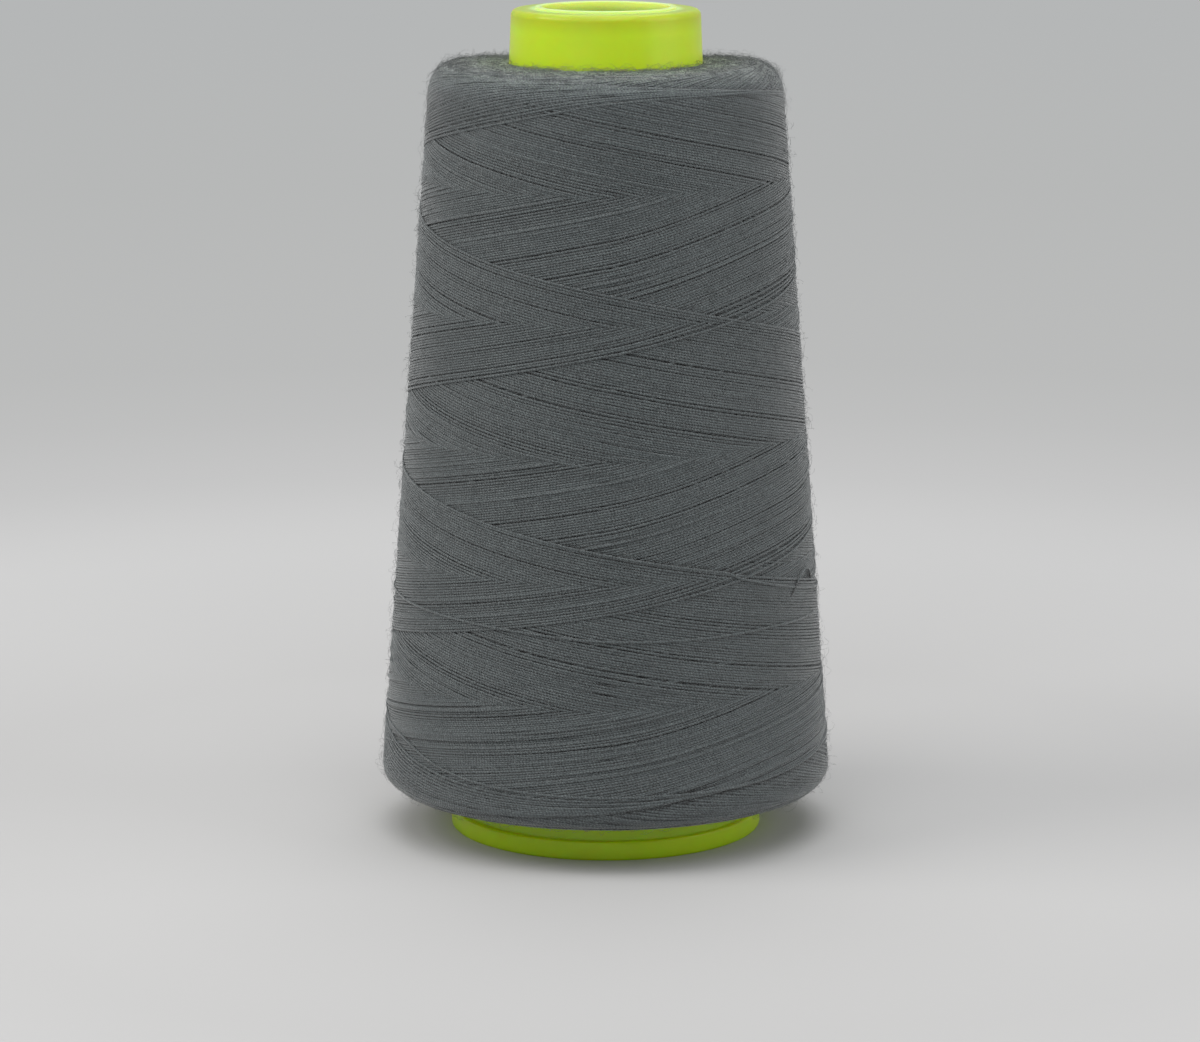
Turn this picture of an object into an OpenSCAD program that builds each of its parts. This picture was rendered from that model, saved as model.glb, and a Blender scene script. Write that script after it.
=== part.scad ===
// Cone of sewing thread for overlock and serger machines: a moulded plastic cone that carries a
// cross-wound package of spun thread. The origin is the centre of the foot, +Z runs up the
// cone's axis and the front faces -Y. Angles round the axis count from the front towards +X.

/* [Cone] */
// Height of the plastic cone, foot to bead
cone_h = 112; // [95:1:150]
// Angle between the shank's side and the axis, in degrees
cone_taper = 4.25; // [3:0.05:6]
// Thickness of the moulded wall
wall = 1.3; // [1:0.1:2]

/* [Nose] */
// Outer diameter of the nose where it leaves the thread
nose_root_d = 25.9; // [22:0.1:36]
// Height of the nose above the thread, bead included
nose_h = 7.5; // [5:0.1:14]
// Angle between the nose's side and the axis, in degrees
nose_taper = 2.3; // [0:0.1:6]
// Radius of the nose's outer top edge
nose_round = 0.9; // [0.3:0.1:2]
// Thickness of the nose's top plate
plate_t = 1.8; // [1.2:0.1:3]
// Diameter of the spindle hole in the top plate
bore_d = 17.2; // [12:0.1:21]
// Width of the raised bead round the spindle hole
bead_w = 0.85; // [0.5:0.05:1.2]
// Height of the bead above the top plate
bead_h = 0.3; // [0.2:0.05:0.4]
// Radius of the bead's two edges
bead_round = 0.15; // [0.05:0.05:0.2]

/* [Foot] */
// How far the foot ring stands out from the shank
foot_step = 0.72; // [0.4:0.02:1.5]
// Height of the foot ring
foot_h = 2.6; // [1.8:0.1:4]
// Radius of the foot ring's outer edges
foot_round = 0.3; // [0.1:0.05:0.35]
// Width of the slit that catches the thread's starting end
catch_w = 0.7; // [0.4:0.1:1.5]
// Angle of the slit round the axis, in degrees
catch_angle = 49; // [0:1:359]

/* [Thread package] */
// Height of the package's underside above the table
package_z = 6.2; // [5:0.1:20]
// Thickness of the wound thread, measured level
package_depth = 10.6; // [6:0.1:16]
// Radius of the package's top corner
top_round = 3.9; // [1:0.1:4.5]
// Radius of the package's bottom corner
bottom_round = 2.5; // [1:0.1:4]
// Clearance between the shank and the innermost layer
seat_gap = 0.2; // [0.1:0.05:0.4]

/* [Outer winding] */
// Diameter of the thread
thread_d = 0.3; // [0.2:0.05:0.5]
// Turns round the cone in one stroke along it
stroke_turns = 2.7; // [2.6:0.1:2.7]
// Full strokes that the outer winding shows
strokes = 7; // [3:2:7]
// Angle round the axis at which the outer winding starts, in degrees
start_angle = 136; // [0:1:359]
// Height of the turning points above the package's underside, and below its top
turn_margin = 4.4; // [4:0.1:8]
// Length over which a turning point is eased, in turns
turn_soft = 0.066; // [0.03:0.002:0.1]
// Least space between two passes of the thread that cross
pass_gap = 0.45; // [0.42:0.01:0.8]
// Least space between the thread and the layers below it
rest_gap = 0.05; // [0.03:0.01:0.2]

/* [Last turn] */
// Height at which the last turn comes round the front
last_turn_z = 31.8; // [28:0.1:60]
// Fall of the last turn, in one whole turn
last_turn_fall = 2; // [1.5:0.1:4]
// Angle round the axis at which the thread's end is tucked in, in degrees
tuck_angle = 76; // [60:1:90]
// How far the thread rises to where it is tucked in
tuck_rise = 1.6; // [0.5:0.1:2]

/* [Hidden] */
$fn = 96;
corner_steps = 6;
cut_extra = 1;
full_turn = 360;
plastic_colour = [0.74, 0.93, 0.15];
package_colour = [0.33, 0.36, 0.37];
strand_colour = [0.42, 0.45, 0.46];

// Cone
nose_root_z = cone_h - nose_h;
plate_z = cone_h - bead_h;
bore_r = bore_d / 2;
level_wall = wall / cos(cone_taper);
foot_r = shank_r(foot_h) + foot_step;
catch_start = shank_r(foot_h) - 2 * level_wall;

// Outer radius of the shank at height z
function shank_r(z) = nose_root_d / 2 + (nose_root_z - z) * tan(cone_taper);

// Outer radius of the nose at height z
function nose_r(z) = nose_root_d / 2 - (z - nose_root_z) * tan(nose_taper);

// Points along an arc, from one angle to another
function arc(centre, r, from, to) =
    [for (i = [0:corner_steps])
        let (a = from + (to - from) * i / corner_steps)
        centre + r * [cos(a), sin(a)]];

// Wound thread. The outer winding lies within the package's depth, over the plain layers.
rings_per_turn = 24;
tube_sides = 6;
chord_sag = (shank_r(package_z) + package_depth) * (1 - cos(full_turn / rings_per_turn / 2));
first_pass_h = rest_gap + chord_sag + thread_d / 2;
pass_step = thread_d + pass_gap;
winding_t = first_pass_h + pass_step + thread_d / 2;
package_top_z = nose_root_z;

// Outer radius of the plain layers at height z
function layers_r(z) = shank_r(z) + package_depth - winding_t / cos(cone_taper);

// Route of the outer winding, by the turns made since its start. It climbs from layer to layer
// within climb_turns of a turning point, and ends when the last turn comes to the tuck.
low_turn_z = package_z + turn_margin;
high_turn_z = package_top_z - turn_margin;
stroke_end = strokes * stroke_turns;
start_turn = start_angle / full_turn;
tuck_turn = tuck_angle / full_turn;
climb_turns = 1 / 12;
tuck_turns = 1 / 6;
level_soft = 1;
least_last_turn = 0.8;
least_step = 1 / 3;
end_clear = 1.5 * thread_d + pass_gap;
pitch = (high_turn_z - low_turn_z) / 2 / eased(stroke_turns / 2);
level_turn = stroke_end + (high_turn_z - last_turn_z) / pitch;
end_turn = ceil(level_turn + least_last_turn + start_turn - tuck_turn) - start_turn + tuck_turn;
front_turn = end_turn - tuck_turn;
last_ring = floor(end_turn * rings_per_turn - least_step);
bend_r = 2 * thread_d;
bend_steps = 3;
end_gap = 0.02;
tiny = 1e-9;

// Turns from a turning point, eased close to it
function eased(turns) = sqrt(pow(turns, 2) + pow(turn_soft, 2)) - turn_soft;

// Rises from 0 to 1 with level ends
function ramp(x) =
    let (u = min(max(x, 0), 1))
    u * u * (3 - 2 * u);

// Height of the full strokes
function stroke_z(t) =
    let (m = t % (2 * stroke_turns))
    let (from_low = min(m, 2 * stroke_turns - m))
    from_low < stroke_turns / 2
        ? low_turn_z + pitch * eased(from_low)
        : high_turn_z - pitch * eased(stroke_turns - from_low);

// Height of the last stroke, which eases into the last turn
function last_z(t) =
    let (falling = high_turn_z - pitch * eased(t - stroke_end))
    let (level = last_turn_z - last_turn_fall * (t - front_turn))
    let (middle = (falling + level) / 2)
    let (apart = (falling - level) / 2)
    middle + sqrt(apart * apart + level_soft * level_soft);

function pass_z(t) = t < stroke_end ? stroke_z(t) : last_z(t);

// The thread's end rises to the height nearest to the wanted one that is clear of every earlier
// pass at its angle
end_passes = [for (k = [1:floor(end_turn)]) pass_z(end_turn - k)];
wanted_z = pass_z(end_turn) + tuck_rise;
beside_passes = [for (z = end_passes, side = [-1, 1]) z + side * end_clear];
free_z = [for (z = concat([wanted_z], beside_passes))
    if (min([for (pass = end_passes) abs(z - pass)]) > end_clear - tiny) z];
least_shift = min([for (z = free_z) abs(z - wanted_z)]);
end_z = [for (z = free_z) if (abs(z - wanted_z) == least_shift) z][0];

function route_z(t) =
    pass_z(t) + (end_z - pass_z(end_turn)) * ramp(1 - (end_turn - t) / tuck_turns);

// Falling strokes lie lowest, rising strokes cross over them, and the last stroke crosses over all
function route_layer(t) =
    let (point = min(round(t / stroke_turns), strokes))
    let (climb = ramp((t - point * stroke_turns) / (2 * climb_turns) + 0.5))
    point == 0 ? 1 : point == strokes ? 1 + climb : point % 2 == 0 ? climb : 1 - climb;

function route_h(t) = first_pass_h + pass_step * route_layer(t);

// Place of a point: its turn, its height z on the plain layers and its height h above them
function place(t, z, h) =
    let (r = layers_r(z) + h * cos(cone_taper))
    let (a = full_turn * (t + start_turn))
    [r * sin(a), -r * cos(a), z + h * sin(cone_taper)];

// An end of the thread: straight out of the layers below, then bent into its turn
function end_points(t, way) =
    let (z = route_z(t))
    let (h = route_h(t))
    let (girth = 2 * PI * layers_r(z))
    [place(t, z, end_gap),
        for (i = [0:bend_steps])
            let (a = 90 * i / bend_steps)
            place(t + way * bend_r * (1 - cos(a)) / girth, z, h - bend_r * (1 - sin(a)))];

function reversed(list) = [for (i = [len(list) - 1:-1:0]) list[i]];

function winding_points() = concat(
    end_points(0, 1),
    [for (i = [1:last_ring])
        let (t = i / rings_per_turn)
        place(t, route_z(t), route_h(t))],
    reversed(end_points(end_turn, -1)));

// Distance between the segments p-q and a-b
function segment_gap(p, q, a, b) =
    let (u = q - p, v = b - a, w = p - a)
    let (uu = u * u, uv = u * v, vv = v * v, uw = u * w, vw = v * w)
    let (s = min(max((uv * vw - vv * uw) / max(uu * vv - uv * uv, tiny), 0), 1))
    let (k = min(max((uv * s + vw) / vv, 0), 1))
    let (m = min(max((uv * k - uw) / uu, 0), 1))
    norm(w + m * u - k * v);

// Least space between parts of the thread that are a quarter turn or more apart along it
function least_gap(points) =
    let (reach = 2 * norm(points[rings_per_turn] - points[rings_per_turn - 1]))
    min([for (i = [0:len(points) - 2])
        for (j = [i + rings_per_turn / 4:1:len(points) - 2])
            if (norm(points[i] - points[j]) < reach)
                segment_gap(points[i], points[i + 1], points[j], points[j + 1])]) - thread_d;

// A tube of triangles along the points
module tube(points, d) {
    last = len(points) - 1;
    rings = [for (i = [0:last])
        let (before = points[max(i - 1, 0)], after = points[min(i + 1, last)])
        let (along = (after - before) / norm(after - before))
        let (across = cross([0, 0, 1], along))
        let (side = across / norm(across))
        let (up = cross(along, side))
        for (k = [0:tube_sides - 1])
            let (a = full_turn * k / tube_sides)
            points[i] + d / 2 * (cos(a) * side + sin(a) * up)];
    walls = [for (i = [0:last - 1])
        for (k = [0:tube_sides - 1])
            let (n = (k + 1) % tube_sides)
            let (low = i * tube_sides, high = (i + 1) * tube_sides)
            each [[low + k, high + k, low + n], [low + n, high + k, high + n]]];
    start_cap = [for (k = [1:tube_sides - 2]) [0, k, k + 1]];
    end_first = last * tube_sides;
    end_cap = [for (k = [1:tube_sides - 2]) [end_first, end_first + k + 1, end_first + k]];
    polyhedron(points = rings, faces = concat(walls, start_cap, end_cap));
}

module cone_profile() {
    nose_edge = [nose_r(plate_z - nose_round) - nose_round / cos(nose_taper), plate_z - nose_round];
    bead_outer = [bore_r + bead_w - bead_round, cone_h - bead_round];
    bead_inner = [bore_r + bead_round, cone_h - bead_round];
    foot_low = [foot_r - foot_round, foot_round];
    foot_high = [foot_r - foot_round, foot_h - foot_round];
    polygon(concat(
        [[shank_r(0) - level_wall, 0]],
        arc(foot_low, foot_round, -90, 0),
        arc(foot_high, foot_round, 0, 90),
        [[shank_r(foot_h), foot_h]],
        [[nose_root_d / 2, nose_root_z]],
        arc(nose_edge, nose_round, nose_taper, 90),
        [[bore_r + bead_w, plate_z]],
        arc(bead_outer, bead_round, 0, 90),
        arc(bead_inner, bead_round, 90, 180),
        [[bore_r, plate_z - plate_t]],
        [[nose_r(plate_z - plate_t) - level_wall, plate_z - plate_t]],
        [[nose_root_d / 2 - level_wall, nose_root_z]]));
}

module plastic_cone() {
    color(plastic_colour)
        difference() {
            rotate_extrude() cone_profile();
            rotate([0, 0, catch_angle - 90])
                translate([catch_start, -catch_w / 2, -cut_extra])
                    cube([foot_r - catch_start + cut_extra, catch_w, foot_h + cut_extra]);
        }
}

module thread_package() {
    top_z = package_top_z - top_round;
    low_z = package_z + bottom_round;
    color(package_colour)
        rotate_extrude()
            polygon(concat(
                [[shank_r(package_z) + seat_gap, package_z]],
                arc([layers_r(low_z) - bottom_round / cos(cone_taper), low_z], bottom_round, -90, cone_taper),
                arc([layers_r(top_z) - top_round / cos(cone_taper), top_z], top_round, cone_taper, 90),
                [[shank_r(package_top_z) + seat_gap, package_top_z]]));
}

module outer_winding() {
    points = winding_points();
    echo(least_gap_mm = least_gap(points), loops = end_turn, pitch_mm = pitch);
    color(strand_colour) tube(points, thread_d);
}

plastic_cone();
thread_package();
outer_winding();
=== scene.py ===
"""Looks of a cone of sewing thread: a translucent lime cone with a cross-wound package of grey thread.

The package is wound here as a machine winds it. A guide runs up and down, the thread follows it a little
late, and each turn is laid on a height map of the turns below. What still shows is built as tubes.
Lengths are in millimetres and angles in degrees, until a mesh is made."""
import math

import bpy
import numpy as np
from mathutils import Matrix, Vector


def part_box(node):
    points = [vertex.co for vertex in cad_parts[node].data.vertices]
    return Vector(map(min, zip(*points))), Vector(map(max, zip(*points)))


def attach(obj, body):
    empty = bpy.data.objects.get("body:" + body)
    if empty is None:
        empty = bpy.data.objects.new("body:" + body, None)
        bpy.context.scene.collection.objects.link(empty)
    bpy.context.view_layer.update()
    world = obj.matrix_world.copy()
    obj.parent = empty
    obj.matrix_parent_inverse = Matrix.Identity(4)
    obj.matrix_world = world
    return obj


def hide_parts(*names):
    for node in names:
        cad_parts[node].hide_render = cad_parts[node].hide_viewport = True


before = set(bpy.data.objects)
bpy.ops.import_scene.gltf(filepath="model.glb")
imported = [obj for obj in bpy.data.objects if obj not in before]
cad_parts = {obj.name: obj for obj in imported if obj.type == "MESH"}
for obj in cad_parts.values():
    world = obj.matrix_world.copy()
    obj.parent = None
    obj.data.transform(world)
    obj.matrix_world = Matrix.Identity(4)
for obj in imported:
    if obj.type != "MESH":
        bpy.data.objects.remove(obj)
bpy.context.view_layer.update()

MM = 0.001
BODY = "root"
rng = np.random.default_rng(11)


def node_box(node):
    """Lowest and highest corner of a CAD node, in millimetres."""
    low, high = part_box(node)
    return np.array(low) / MM, np.array(high) / MM


CONE_H = node_box("plastic_cone")[1][2]
PACKAGE_LOW, PACKAGE_TOP = node_box("thread_package")[0][2], node_box("thread_package")[1][2]

# ---------------------------------------------------------------- camera

IMAGE_W = 1200           # pixels across the photograph
FOCAL_PX = 4302.8        # the fitted focal length, in those pixels
SENSOR_W = 36.0
CAMERA_DISTANCE = 575.6
CAMERA_HEIGHT = 156.0
CAMERA_PITCH = 11.197    # downwards
CAMERA_ASIDE = -0.78

camera_data = bpy.data.cameras.new("camera")
camera_data.sensor_width = SENSOR_W
camera_data.lens = FOCAL_PX * SENSOR_W / IMAGE_W
camera_data.clip_start = 0.01
camera_data.clip_end = 50
camera = bpy.data.objects.new("camera", camera_data)
camera.location = (CAMERA_ASIDE * MM, -CAMERA_DISTANCE * MM, CAMERA_HEIGHT * MM)
camera.rotation_euler = (math.radians(90 - CAMERA_PITCH), 0, 0)
bpy.context.scene.collection.objects.link(camera)
bpy.context.scene.camera = camera

# ---------------------------------------------------------------- the package's profile

SHANK_TOP_R = 12.95
TAPER = 4.25
PACKAGE_DEPTH = 10.6
TOP_ROUND, LOW_ROUND = 3.9, 2.5
FACE_GAP = 0.25          # between the shank and the innermost arc of an end face
STEP = 0.05              # of the profile's table and of the height map, up the profile

tan_t, cos_t = math.tan(math.radians(TAPER)), math.cos(math.radians(TAPER))


def shank_r(z):
    return SHANK_TOP_R + (PACKAGE_TOP - z) * tan_t


def side_r(z):
    return shank_r(z) + PACKAGE_DEPTH


def arc_points(centre, radius, start, end):
    """Points along an arc from one angle to another, about STEP apart."""
    count = max(2, int(abs(math.radians(end - start)) * radius / STEP))
    a = np.radians(np.linspace(start, end, count))
    return np.column_stack([centre[0] + radius * np.cos(a), centre[1] + radius * np.sin(a)])


def profile_table():
    """Runs from the underside's inner edge, out and up the side, to the top face's inner edge.

    Returns w, r, z and the outward normal. w is the height z on the side, and goes on at the same
    rate round the corners and over the end faces."""
    low_z, top_z = PACKAGE_LOW + LOW_ROUND, PACKAGE_TOP - TOP_ROUND
    low_c = (side_r(low_z) - LOW_ROUND / cos_t, low_z)
    top_c = (side_r(top_z) - TOP_ROUND / cos_t, top_z)
    low_arc = arc_points(low_c, LOW_ROUND, -90, TAPER)
    top_arc = arc_points(top_c, TOP_ROUND, TAPER, 90)
    corners = [
        np.array([[shank_r(PACKAGE_LOW) + FACE_GAP, PACKAGE_LOW]]),
        low_arc, top_arc,
        np.array([[SHANK_TOP_R + FACE_GAP, PACKAGE_TOP]])]
    points = np.vstack(corners)
    length = np.concatenate([[0], np.cumsum(np.hypot(*np.diff(points, axis=0).T))])
    low_length = length[len(low_arc)]
    even = np.arange(0, length[-1], STEP / cos_t)
    r, z = np.interp(even, length, points[:, 0]), np.interp(even, length, points[:, 1])
    dr, dz = np.gradient(r), np.gradient(z)
    size = np.hypot(dr, dz)
    w = low_arc[-1][1] + (even - low_length) * cos_t
    return w, r, z, dz / size, -dr / size


W, R, Z, NORMAL_R, NORMAL_Z = profile_table()


def place(w, angle, height):
    """Points in millimetres at profile place w, at an angle from the front, height above the profile."""
    nr, nz = np.interp(w, W, NORMAL_R), np.interp(w, W, NORMAL_Z)
    r = np.interp(w, W, R) + nr * height
    z = np.interp(w, W, Z) + nz * height
    a = np.radians(angle)
    normal = np.column_stack([nr * np.sin(a), -nr * np.cos(a), nz])
    return np.column_stack([r * np.sin(a), -r * np.cos(a), z]), normal


# ---------------------------------------------------------------- winding

COLUMNS = 720            # samples in one turn
SAMPLE = 360 / COLUMNS
CYCLES = 165             # strokes up and down that are laid
TURNS_PER_CYCLE = 6
PERIOD = 360 * TURNS_PER_CYCLE
GUIDE_LOW, GUIDE_HIGH = 5.23, 106.5
FIRST_LOW, FIRST_HIGH = -58.7, 1068.7   # where the guide turns in the newest cycle
LAG_LOW, LAG_HIGH = 87.0, 68.0          # how late the thread follows the guide at each end
MM_PER_DEGREE = (GUIDE_HIGH - GUIDE_LOW) / (PERIOD / 2)
PITCH = MM_PER_DEGREE * 360             # between turns of one stroke, up the cone
MEAN_GAP, GAP_SPREAD = 0.322, 0.11      # between neighbouring strands, up the cone
WIDE_SHARE, WIDE_BY = 0.20, (0.10, 0.24)        # share of gaps that are wider, and by how much
GUIDE_STRAY = 0.05                      # how far a turning point strays, up the cone
# By how much the newest strokes up and down run ahead of the rest, newest first. It leaves wider gaps.
NEWEST_UP = [0, 0.12, 0.17, 0.17]
NEWEST_DOWN = [0, 0.20, 0.22, 0.26, 0.36, 0.38]
# The newest strokes up spread out on one side: how many, how far from each other, between which angles
FAN_STROKES, FAN_GAP = 4, 0.26
FAN_START, FAN_END = 0, 95
LAST_TURN = (                           # angle and height: the newest stroke's end and the last turn
    (1836.4, 38.9), (1860, 36.0), (1884, 33.9), (1915, 32.7), (1955, 32.5), (2000, 33.0), (2045, 33.5),
    (2080, 33.5), (2131.4, 32.7), (2158.9, 31.7), (2182.2, 31.5), (2207.6, 31.5), (2235.3, 31.0))
TUCK = (                                # angle, height and lift of the thread's end, after the last turn
    (2229.0, 31.1, 0.06), (2233.5, 31.0, 0.0), (2236.0, 31.8, -0.30), (2236.4, 33.4, -0.40),
    (2235.4, 35.0, -0.20), (2233.6, 36.4, 0.04), (2230.0, 37.6, 0.32), (2226.0, 37.4, 0.30),
    (2223.2, 36.3, 0.08), (2220.6, 35.2, -0.04), (2218.4, 34.4, -0.24))
TUCK_SHADE = 0.14                       # lift below which the end lies in the shade of its neighbours, which is painted on it as painted shade

HALF_WIDTH, HALF_THICK = 0.172, 0.125   # of a strand
CONTACT_HALF = 0.11      # half the width on which a strand rests
NO_STRAND = -9           # height that stands for no strand
SINK = 0.05              # how far a strand presses into what it crosses
CONFORM_R = 9.0          # bend radius at which a taut strand drops off a ridge
MOST_PROUD = 0.17        # how far a strand's middle may lie above the mean surface near it
STRAND_AREA = 0.072      # that one pass adds to the package's section
LAYER = 0.2              # thickness of one full cover of strands that run one way
LOW_REACH, HIGH_REACH = 4.4, 3.8        # how much further out older turning points lie
LOW_CYCLES, HIGH_CYCLES = 10.0, 18.0    # cycles over which most of that comes
LOW_CENTRE, HIGH_CENTRE = 62.0, 45.0    # angle after the guide turns at which a stroke is drawn out most
LOW_WIDTH, HIGH_WIDTH = 60.0, 66.0      # and over which it is
REACH_WANDER = (16, 0.06)               # how that varies: cycles between values, and by how much
# At the low end all but the newest come lower, and the newest higher: by how much, where, how widely
DROP, DROP_CENTRE, DROP_WIDTH = 0.30, 18.7, 30.0
RISE, RISE_CENTRE, RISE_WIDTH = 0.85, -5.3, 14.0
BELL_END = 3                            # widths from a bell curve's middle at which it has died out
WANDERS = ((180, 0.035), (24, 0.008))   # how a strand wanders: samples between values, and how far

height_map = np.zeros((COLUMNS, len(W)), np.float32)


def smooth_noise(count, spacing, amplitude):
    """Smooth random values, with a new value every spacing samples."""
    knots = rng.normal(0, amplitude, count // spacing + 3)
    x = np.arange(count) / spacing
    i = x.astype(int)
    f = x - i
    f = f * f * (3 - 2 * f)
    return knots[i] * (1 - f) + knots[i + 1] * f


def blur(values, half, axis=-1):
    """Mean over half samples to each side."""
    pad = [(0, 0)] * values.ndim
    pad[axis] = (half + 1, half)
    total = np.cumsum(np.pad(values, pad, "edge").astype(float), axis)
    size = 2 * half + 1
    end = total.shape[axis]
    return (np.take(total, range(size, end), axis) - np.take(total, range(end - size), axis)) / size


def through(points, x):
    """Smooth curve through points (x, y, ...), at increasing x."""
    knots, values = points[:, 0], points[:, 1:]
    tangents = np.gradient(values, knots, axis=0)
    i = np.clip(np.searchsorted(knots, x) - 1, 0, len(knots) - 2)
    size = (knots[i + 1] - knots[i])[:, None]
    t = (x[:, None] - knots[i][:, None]) / size
    return (
        (2 * t ** 3 - 3 * t ** 2 + 1) * values[i] + (t ** 3 - 2 * t ** 2 + t) * size * tangents[i]
        + (3 * t ** 2 - 2 * t ** 3) * values[i + 1] + (t ** 3 - t ** 2) * size * tangents[i + 1])


def guide_turning_points():
    """Angles at which the guide turns at the bottom and at the top, oldest first."""
    gaps = rng.lognormal(math.log(MEAN_GAP), GAP_SPREAD, CYCLES)
    wide = rng.random(CYCLES) < WIDE_SHARE
    gaps[wide] += rng.uniform(*WIDE_BY, wide.sum())
    shift = np.concatenate([[0], np.cumsum(gaps[:-1])])
    starts = FIRST_LOW - PERIOD * np.arange(CYCLES)
    turns = []
    for first, newest in ((0, NEWEST_UP), (FIRST_HIGH - FIRST_LOW, NEWEST_DOWN)):
        ahead = np.full(CYCLES, float(newest[-1]))
        ahead[:len(newest)] = newest
        stray = rng.normal(0, GUIDE_STRAY, CYCLES)
        turns.append((starts + first - (shift + ahead + stray) / MM_PER_DEGREE)[::-1])
    return turns


def route():
    """Angle and profile place of each sample of the thread, oldest first."""
    lows, highs = guide_turning_points()
    start = 360 * math.floor(lows[0] / 360)
    angle = np.arange(start, LAST_TURN[-1][0], SAMPLE)
    knots = np.column_stack([lows, highs]).ravel()
    heights = np.tile([GUIDE_LOW, GUIDE_HIGH], len(lows))
    guide = np.interp(angle, np.append(knots, lows[-1] + PERIOD), np.append(heights, GUIDE_LOW))
    w = np.empty_like(guide)
    middle = (GUIDE_LOW + GUIDE_HIGH) / 2
    here = guide[0]
    for i, aim in enumerate(guide):
        lag = LAG_LOW if here < middle else LAG_HIGH
        here += SAMPLE * (aim - here) / lag
        w[i] = here
    # Older turning points reach further out than the newest one does
    for turns, reach, cycles, centre, width in (
            (lows, -LOW_REACH, LOW_CYCLES, LOW_CENTRE, LOW_WIDTH),
            (highs, HIGH_REACH, HIGH_CYCLES, HIGH_CENTRE, HIGH_WIDTH)):
        age = np.arange(len(turns))[::-1]
        share = (1 - np.exp(-age / cycles)) * (1 + smooth_noise(len(turns), *REACH_WANDER))
        for turn, s in zip(turns, share):
            a = (angle - turn - centre) / width
            near = np.abs(a) < BELL_END
            w[near] += reach * s * np.exp(-a[near] ** 2)
    for turn in lows:
        rise, centre, width = -DROP, DROP_CENTRE, DROP_WIDTH
        if turn == lows[-1]:
            rise, centre, width = RISE, RISE_CENTRE, RISE_WIDTH
        a = (angle - turn - centre) / width
        near = np.abs(a) < BELL_END
        w[near] += rise * np.exp(-a[near] ** 2)
    for cycle in range(CYCLES):
        stroke = (angle > lows[cycle]) & (angle < highs[cycle])
        turned = (angle[stroke] % 360 - FAN_START) / (FAN_END - FAN_START)
        fan = np.where((turned > 0) & (turned < 1), np.sin(np.pi * turned) ** 2, 0)
        w[stroke] += FAN_GAP * fan * min(CYCLES - 1 - cycle, FAN_STROKES)
    last = angle > LAST_TURN[0][0]
    w[last] = through(np.array(LAST_TURN), angle[last])[:, 0]
    w += sum(smooth_noise(len(w), *wander) for wander in WANDERS)
    return angle, w


MEAN_R = 27              # of the package
SAMPLE_MM = math.radians(SAMPLE) * MEAN_R
REACH = int(math.ceil(HALF_WIDTH / STEP)) + 1           # rows of the height map that a strand may touch
OFFSETS = np.arange(-REACH, REACH + 1)


def rows_at(w):
    """Nearest row of the height map, and how far down the map the exact place is."""
    exact = (w - W[0]) / STEP
    return np.clip(np.round(exact).astype(int), REACH, len(W) - REACH - 1), exact


def taut(supports):
    """Heights of a taut strand over its supports: the least that lies on or above them and bends
    no more sharply than CONFORM_R."""
    x = np.arange(len(supports)) * SAMPLE_MM
    g = (supports - x * x / (2 * CONFORM_R)).tolist()
    hull = []
    for i in range(len(g)):
        while len(hull) > 1:
            a, b = hull[-2], hull[-1]
            if (g[b] - g[a]) * (i - a) > (g[i] - g[a]) * (b - a):
                break
            hull.pop()
        hull.append(i)
    return np.interp(np.arange(len(g)), hull, np.array(g)[hull]) + x * x / (2 * CONFORM_R)


SLIP = 0.15              # how far a strand may slip sideways off a ridge
SLIP_RUN = 24            # samples over which it slips as one
SLIP_COST = 1.2          # height that a slip must win, for each square millimetre


def settle(columns, w):
    """Moves a strand sideways towards the nearest hollow, as a taut thread slips off its neighbours."""
    rows, _ = rows_at(w)
    half = int(round(HALF_WIDTH / STEP))
    most = int(round(SLIP / STEP))
    offsets = np.arange(-most - half, most + half + 1)
    at = np.clip(rows[:, None] + offsets, 0, len(W) - 1)
    below = blur(height_map[columns[:, None], at], half)[:, half:-half]
    below = blur(below, SLIP_RUN, axis=0)
    shifts = np.arange(-most, most + 1) * STEP
    best = shifts[np.argmin(below + SLIP_COST * shifts ** 2, axis=1)]
    return w + blur(best, SLIP_RUN)


def lay(columns, w):
    """Lays a stretch of strand on the height map and returns its heights."""
    rows, exact = rows_at(w)
    at = rows[:, None] + OFFSETS
    x = (at - exact[:, None]) * STEP
    below = height_map[columns[:, None], at]
    inside = np.abs(x) < CONTACT_HALF
    rest = HALF_THICK * np.sqrt(np.maximum(1 - (x / CONTACT_HALF) ** 2, 0))
    contact = np.where(inside, rest, NO_STRAND)
    level = blur(below.mean(1), SLIP_RUN)
    height = np.minimum(taut((below + contact).max(1)) - SINK, level + MOST_PROUD)
    crown = HALF_THICK * np.sqrt(np.maximum(1 - (x / HALF_WIDTH) ** 2, 0))
    top = height[:, None] + np.where(np.abs(x) < HALF_WIDTH, crown, NO_STRAND)
    np.maximum.at(height_map, (np.broadcast_to(columns[:, None], at.shape), at), top)
    return height


SEEN_WIDTH = 0.92        # share of a strand's width that is tested
SEEN_DEPTH = 0.03        # how far below the surface a strand still counts as showing


def showing(columns, w, height):
    """True where a sample of strand still reaches the surface of the finished package."""
    rows, exact = rows_at(w)
    seen = np.zeros(len(w), bool)
    for offset in OFFSETS:
        x = (rows + offset - exact) * STEP
        inside = np.abs(x) < SEEN_WIDTH * HALF_WIDTH
        top = height + HALF_THICK * np.sqrt(np.maximum(1 - (x / HALF_WIDTH) ** 2, 0))
        seen |= inside & (top > height_map[columns, rows + offset] - SEEN_DEPTH)
    return seen


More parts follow.
